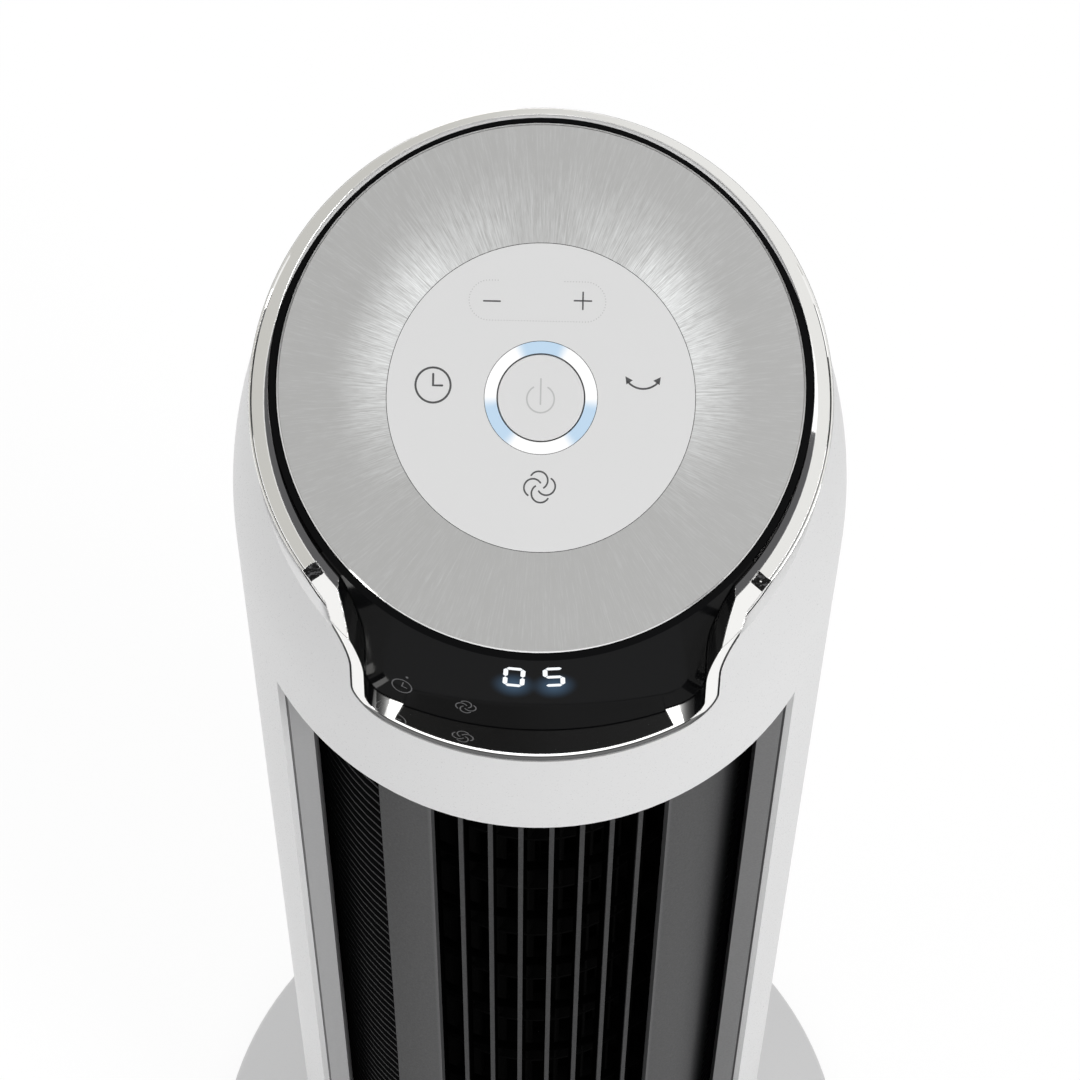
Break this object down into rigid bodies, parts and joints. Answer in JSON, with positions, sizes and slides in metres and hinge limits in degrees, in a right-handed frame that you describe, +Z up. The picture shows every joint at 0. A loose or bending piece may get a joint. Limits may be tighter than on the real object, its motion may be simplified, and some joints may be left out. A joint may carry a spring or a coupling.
{
  "type": "tower fan",
  "caption": "Free-standing tower fan: a round column on a wide base, an inner drum that swings from side to side around a spinning wheel, and a tilted control head with a power button.",
  "frame": {"origin": "on the floor under the column's axis, midway across the round base", "axes": "+Z up along the column, -Y out of the front, +X to the viewer's right when facing the front"},
  "size_m": [0.31, 0.31, 1.1111],
  "materials": {
    "white_housing": "gloss moulded",
    "base_metal": "satin black",
    "steel": "zinc plated",
    "iron": "rough cast",
    "rubber": "matt",
    "neck_plastic": "fine grain",
    "board": "solder mask",
    "dark_plastic": "fine grain",
    "bearing_plastic": "smooth",
    "bearing_brass": "turned",
    "motor_steel": "zinc",
    "shaft_steel": "ground",
    "grey_strip": "satin",
    "chrome": "bright",
    "black_cowl": "piano gloss",
    "disc_metal": "radially brushed",
    "panel_white": "gloss",
    "light_ring": "frosted, lit from behind",
    "display_glass": "smoked",
    "drum_grey": "satin",
    "impeller_plastic": "smooth"
  },
  "bodies": {
    "stand": {"base_cover": "white_housing", "base_plate": "base_metal", "base_screws": "steel", "base_weight": "iron", "rubber_feet": "rubber", "base_neck": "neck_plastic", "column_bolts": "steel", "lower_housing": "white_housing", "cord_gland": "rubber", "power_board": "board", "power_board_screws": "steel", "lower_deck": "dark_plastic", "lower_deck_screws": "steel", "lower_bush": "bearing_plastic", "swing_motor": "motor_steel", "swing_motor_screws": "steel", "right_side_panel": "white_housing", "left_side_panel": "white_housing", "right_strip": "grey_strip", "left_strip": "grey_strip", "rear_grille": "white_housing", "rear_screws": "steel", "head_shell": "white_housing", "chrome_bezel": "chrome", "display_cowl": "black_cowl", "metal_disc": "disc_metal", "touch_panel": "panel_white", "light_ring": "light_ring", "control_board": "board", "board_screws": "steel", "power_switch": "dark_plastic", "display_module": "display_glass", "display_board": "board", "upper_deck": "dark_plastic", "upper_deck_screws": "steel", "cowl_screws": "steel"},
    "drum": {"drum_bottom_cap": "dark_plastic", "drum_top_cap": "dark_plastic", "drum_screws": "steel", "drum_front_panel": "drum_grey", "outlet_grille": "drum_grey", "drum_guard": "drum_grey", "scroll_wall": "dark_plastic", "stabilizer": "dark_plastic", "pivot_bush": "bearing_plastic", "fan_motor": "motor_steel", "fan_motor_screws": "steel", "impeller_bearing": "bearing_brass", "drive_sector": "bearing_plastic"},
    "fan_wheel": {"impeller": "impeller_plastic", "motor_shaft": "shaft_steel", "stub_shaft": "shaft_steel"},
    "swing_gear": {"drive_pinion": "bearing_plastic", "swing_shaft": "shaft_steel"},
    "button": {"power_button": "panel_white"}
  },
  "joints": [
    {"name": "drum_swing", "type": "hinge", "parent": "stand", "child": "drum", "pos_m": [0, 0, 0.56], "axis": [0, 0, 1], "range_deg": [-39.5, 30.5]},
    {"name": "wheel_spin", "type": "hinge", "parent": "drum", "child": "fan_wheel", "pos_m": [0, 0, 0.58], "axis": [0, 0, 1], "continuous": true},
    {"name": "gear_spin", "type": "hinge", "parent": "stand", "child": "swing_gear", "pos_m": [0, 0.072, 0.187], "axis": [0, 0, 1], "range_deg": [-156, 201]},
    {"name": "button_press", "type": "slide", "parent": "stand", "child": "button", "axis": [0, 0.3665, -0.9304], "range_m": [0, 0.001], "stiffness_N_per_m": 1500, "springref_m": -0.0005}
  ],
  "couplings": [
    {"joint": "gear_spin", "follows": "drum_swing", "ratio": -5}
  ]
}
